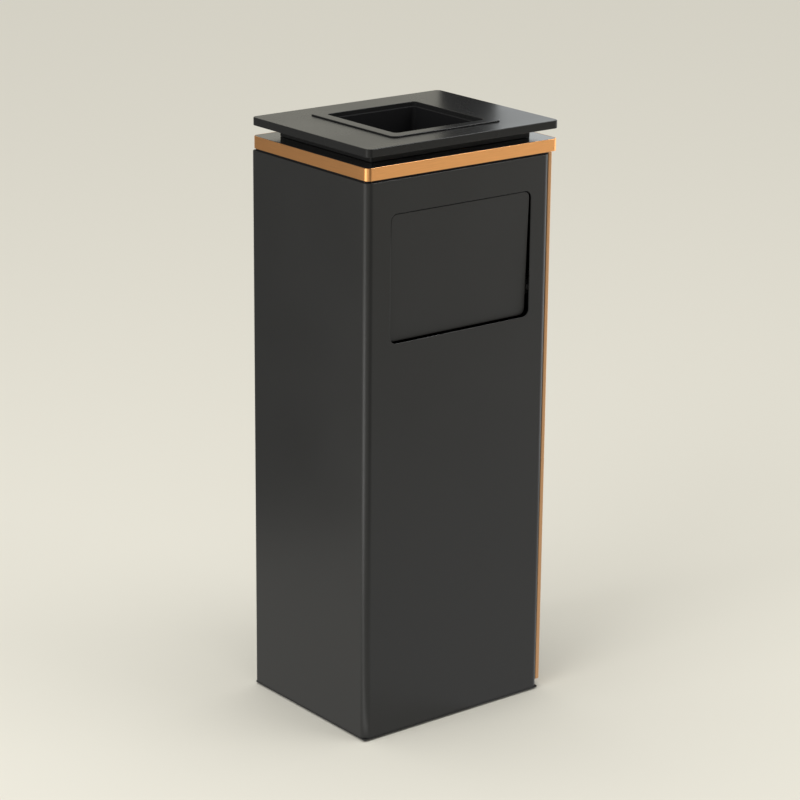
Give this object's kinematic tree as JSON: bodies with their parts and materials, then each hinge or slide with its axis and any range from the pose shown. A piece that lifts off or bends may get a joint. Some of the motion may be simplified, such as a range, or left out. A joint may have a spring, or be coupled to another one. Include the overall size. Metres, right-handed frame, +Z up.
{
  "type": "ashtray bin",
  "caption": "Square free-standing litter bin with a push flap, a hinged side door, an inner bucket and a lift-out ash cup in its top plate.",
  "frame": {"origin": "centre of the footprint, on the floor", "axes": "+Z up, the flap side faces -Y, the door side faces +X"},
  "size_m": [0.25, 0.2, 0.6364],
  "materials": {
    "black_coat": "fine-texture black powder coat",
    "black_liner": "matt black enamel",
    "black_top": "smooth semi-gloss black coat",
    "gold": "satin copper-gold plated stainless steel",
    "zinc": "bright zinc plate",
    "bucket_steel": "galvanised sheet",
    "rubber": "matt black rubber",
    "nylon": "natural nylon",
    "black_plastic": "moulded black plastic"
  },
  "bodies": {
    "cabinet": {"shell": "black_coat", "base_plate": "black_coat", "foot_front_left": "rubber", "foot_front_right": "rubber", "foot_rear_left": "rubber", "foot_rear_right": "rubber", "top_frame": "black_coat", "gold_band": "gold", "deck": "black_top", "deck_nut_front_left": "zinc", "deck_nut_front_right": "zinc", "deck_nut_rear_left": "zinc", "deck_nut_rear_right": "zinc", "flap_bracket_left": "black_coat", "flap_bracket_right": "black_coat", "flap_bush_left": "nylon", "flap_bush_right": "nylon", "magnet_catch_lower": "black_plastic", "magnet_catch_upper": "black_plastic", "catch_screw_lower": "zinc", "catch_screw_upper": "zinc", "hinge_fixed_leaf_lower": "zinc", "hinge_fixed_leaf_upper": "zinc", "hinge_pin_lower": "zinc", "hinge_pin_upper": "zinc", "hinge_rivet_lower_bottom": "zinc", "hinge_rivet_lower_top": "zinc", "hinge_rivet_upper_bottom": "zinc", "hinge_rivet_upper_top": "zinc", "inner_bucket": "bucket_steel", "bail_lug_front": "bucket_steel", "bail_lug_rear": "bucket_steel"},
    "flap": {"flap_panel": "black_coat", "flap_rod": "zinc", "rod_clip_left": "zinc", "rod_clip_right": "zinc", "stop_buffer_left": "rubber", "stop_buffer_right": "rubber"},
    "door": {"door_panel": "black_coat", "pull_strip": "gold", "hinge_moving_leaf_lower": "zinc", "hinge_moving_leaf_upper": "zinc", "strike_plate_lower": "zinc", "strike_plate_upper": "zinc"},
    "top": {"top_plate": "black_top", "neck_collar": "black_coat", "ash_rim": "black_top"},
    "cup": {"ash_cup": "black_liner"},
    "bail": {"bail_handle": "zinc", "bail_grip": "black_plastic"}
  },
  "joints": [
    {"name": "flap_hinge", "type": "hinge", "parent": "cabinet", "child": "flap", "pos_m": [-0.00365, -0.0935, 0.572], "axis": [1, 0, 0], "range_deg": [-1.9, 60]},
    {"name": "door_hinge", "type": "hinge", "parent": "cabinet", "child": "door", "pos_m": [0.11875, 0.096, 0.3], "axis": [0, 0, 1], "range_deg": [0, 110]},
    {"name": "top_lift", "type": "slide", "parent": "cabinet", "child": "top", "axis": [0, 0, 1], "range_m": [0, 0.08]},
    {"name": "ash_cup_lift", "type": "slide", "parent": "top", "child": "cup", "axis": [0, 0, 1], "range_m": [0, 0.07]},
    {"name": "bail_hinge", "type": "hinge", "parent": "cabinet", "child": "bail", "pos_m": [0, 0, 0.322], "axis": [0, -1, 0], "range_deg": [0, 158]}
  ]
}
